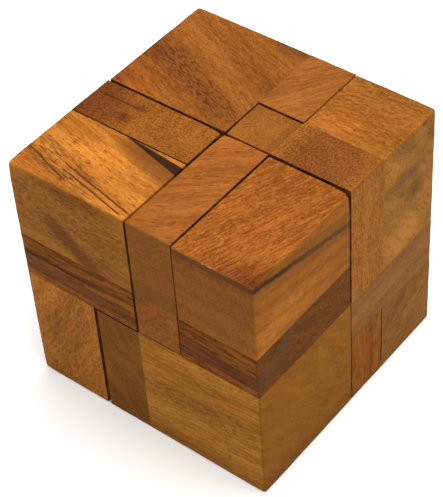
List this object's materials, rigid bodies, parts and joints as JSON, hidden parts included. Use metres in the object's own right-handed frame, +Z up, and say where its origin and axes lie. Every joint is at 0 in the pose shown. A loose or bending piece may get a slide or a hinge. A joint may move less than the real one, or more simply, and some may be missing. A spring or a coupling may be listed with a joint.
{
  "type": "interlocking cube puzzle",
  "caption": "Wooden burr cube puzzle: interlocking glued-block pieces that slide apart one after another, key first, and lock into a plain cube.",
  "frame": {"origin": "middle of the cube's base, on the surface it stands on", "axes": "+Z up, +X to the right and +Y to the back, seen from the side that the key comes out of"},
  "size_m": [0.0752, 0.0754, 0.075],
  "materials": {
    "honey_wood": "oiled satin",
    "amber_wood": "oiled satin",
    "orange_wood": "oiled satin",
    "rust_wood": "oiled satin",
    "brown_wood": "oiled satin",
    "dark_wood": "oiled satin",
    "olive_wood": "oiled satin",
    "end_grain_wood": "oiled satin",
    "hidden_wood": "oiled satin"
  },
  "bodies": {
    "anchor": {"anchor_block": "hidden_wood", "anchor_side_block": "hidden_wood", "anchor_plate": "hidden_wood", "anchor_peg": "hidden_wood"},
    "lid": {"lid_slab": "brown_wood", "lid_side_rail": "hidden_wood", "lid_tenon": "hidden_wood", "lid_end_post": "orange_wood"},
    "tower": {"tower_centre_block": "olive_wood", "tower_post": "end_grain_wood", "tower_top_block": "amber_wood", "tower_plate": "olive_wood", "tower_low_post": "rust_wood", "tower_low_block": "olive_wood", "tower_locking_bar": "hidden_wood"},
    "hook": {"hook_top_block": "honey_wood", "hook_top_rail": "end_grain_wood", "hook_front_rail": "dark_wood", "hook_side_post": "hidden_wood", "hook_low_block": "brown_wood", "hook_cross_bar": "hidden_wood"},
    "foot": {"foot_block": "amber_wood", "foot_cheek": "brown_wood", "foot_post": "olive_wood", "foot_stud": "hidden_wood", "foot_stud_tip": "hidden_wood"},
    "cap": {"cap_block": "rust_wood", "cap_plate": "dark_wood", "cap_pin": "hidden_wood"},
    "key": {"key_bar": "orange_wood", "key_foot": "brown_wood"}
  },
  "joints": [
    {"name": "lid_slide", "type": "slide", "parent": "anchor", "child": "lid", "axis": [0, -1, 0], "range_m": [0, 0.045]},
    {"name": "tower_slide", "type": "slide", "parent": "lid", "child": "tower", "axis": [1, 0, 0], "range_m": [0, 0.045]},
    {"name": "hook_slide", "type": "slide", "parent": "tower", "child": "hook", "axis": [0, -1, 0], "range_m": [0, 0.06]},
    {"name": "foot_slide", "type": "slide", "parent": "hook", "child": "foot", "axis": [1, 0, 0], "range_m": [0, 0.06]},
    {"name": "cap_slide", "type": "slide", "parent": "foot", "child": "cap", "axis": [0, 0, 1], "range_m": [0, 0.06]},
    {"name": "key_slide", "type": "slide", "parent": "cap", "child": "key", "axis": [0, -1, 0], "range_m": [0, 0.045]}
  ]
}
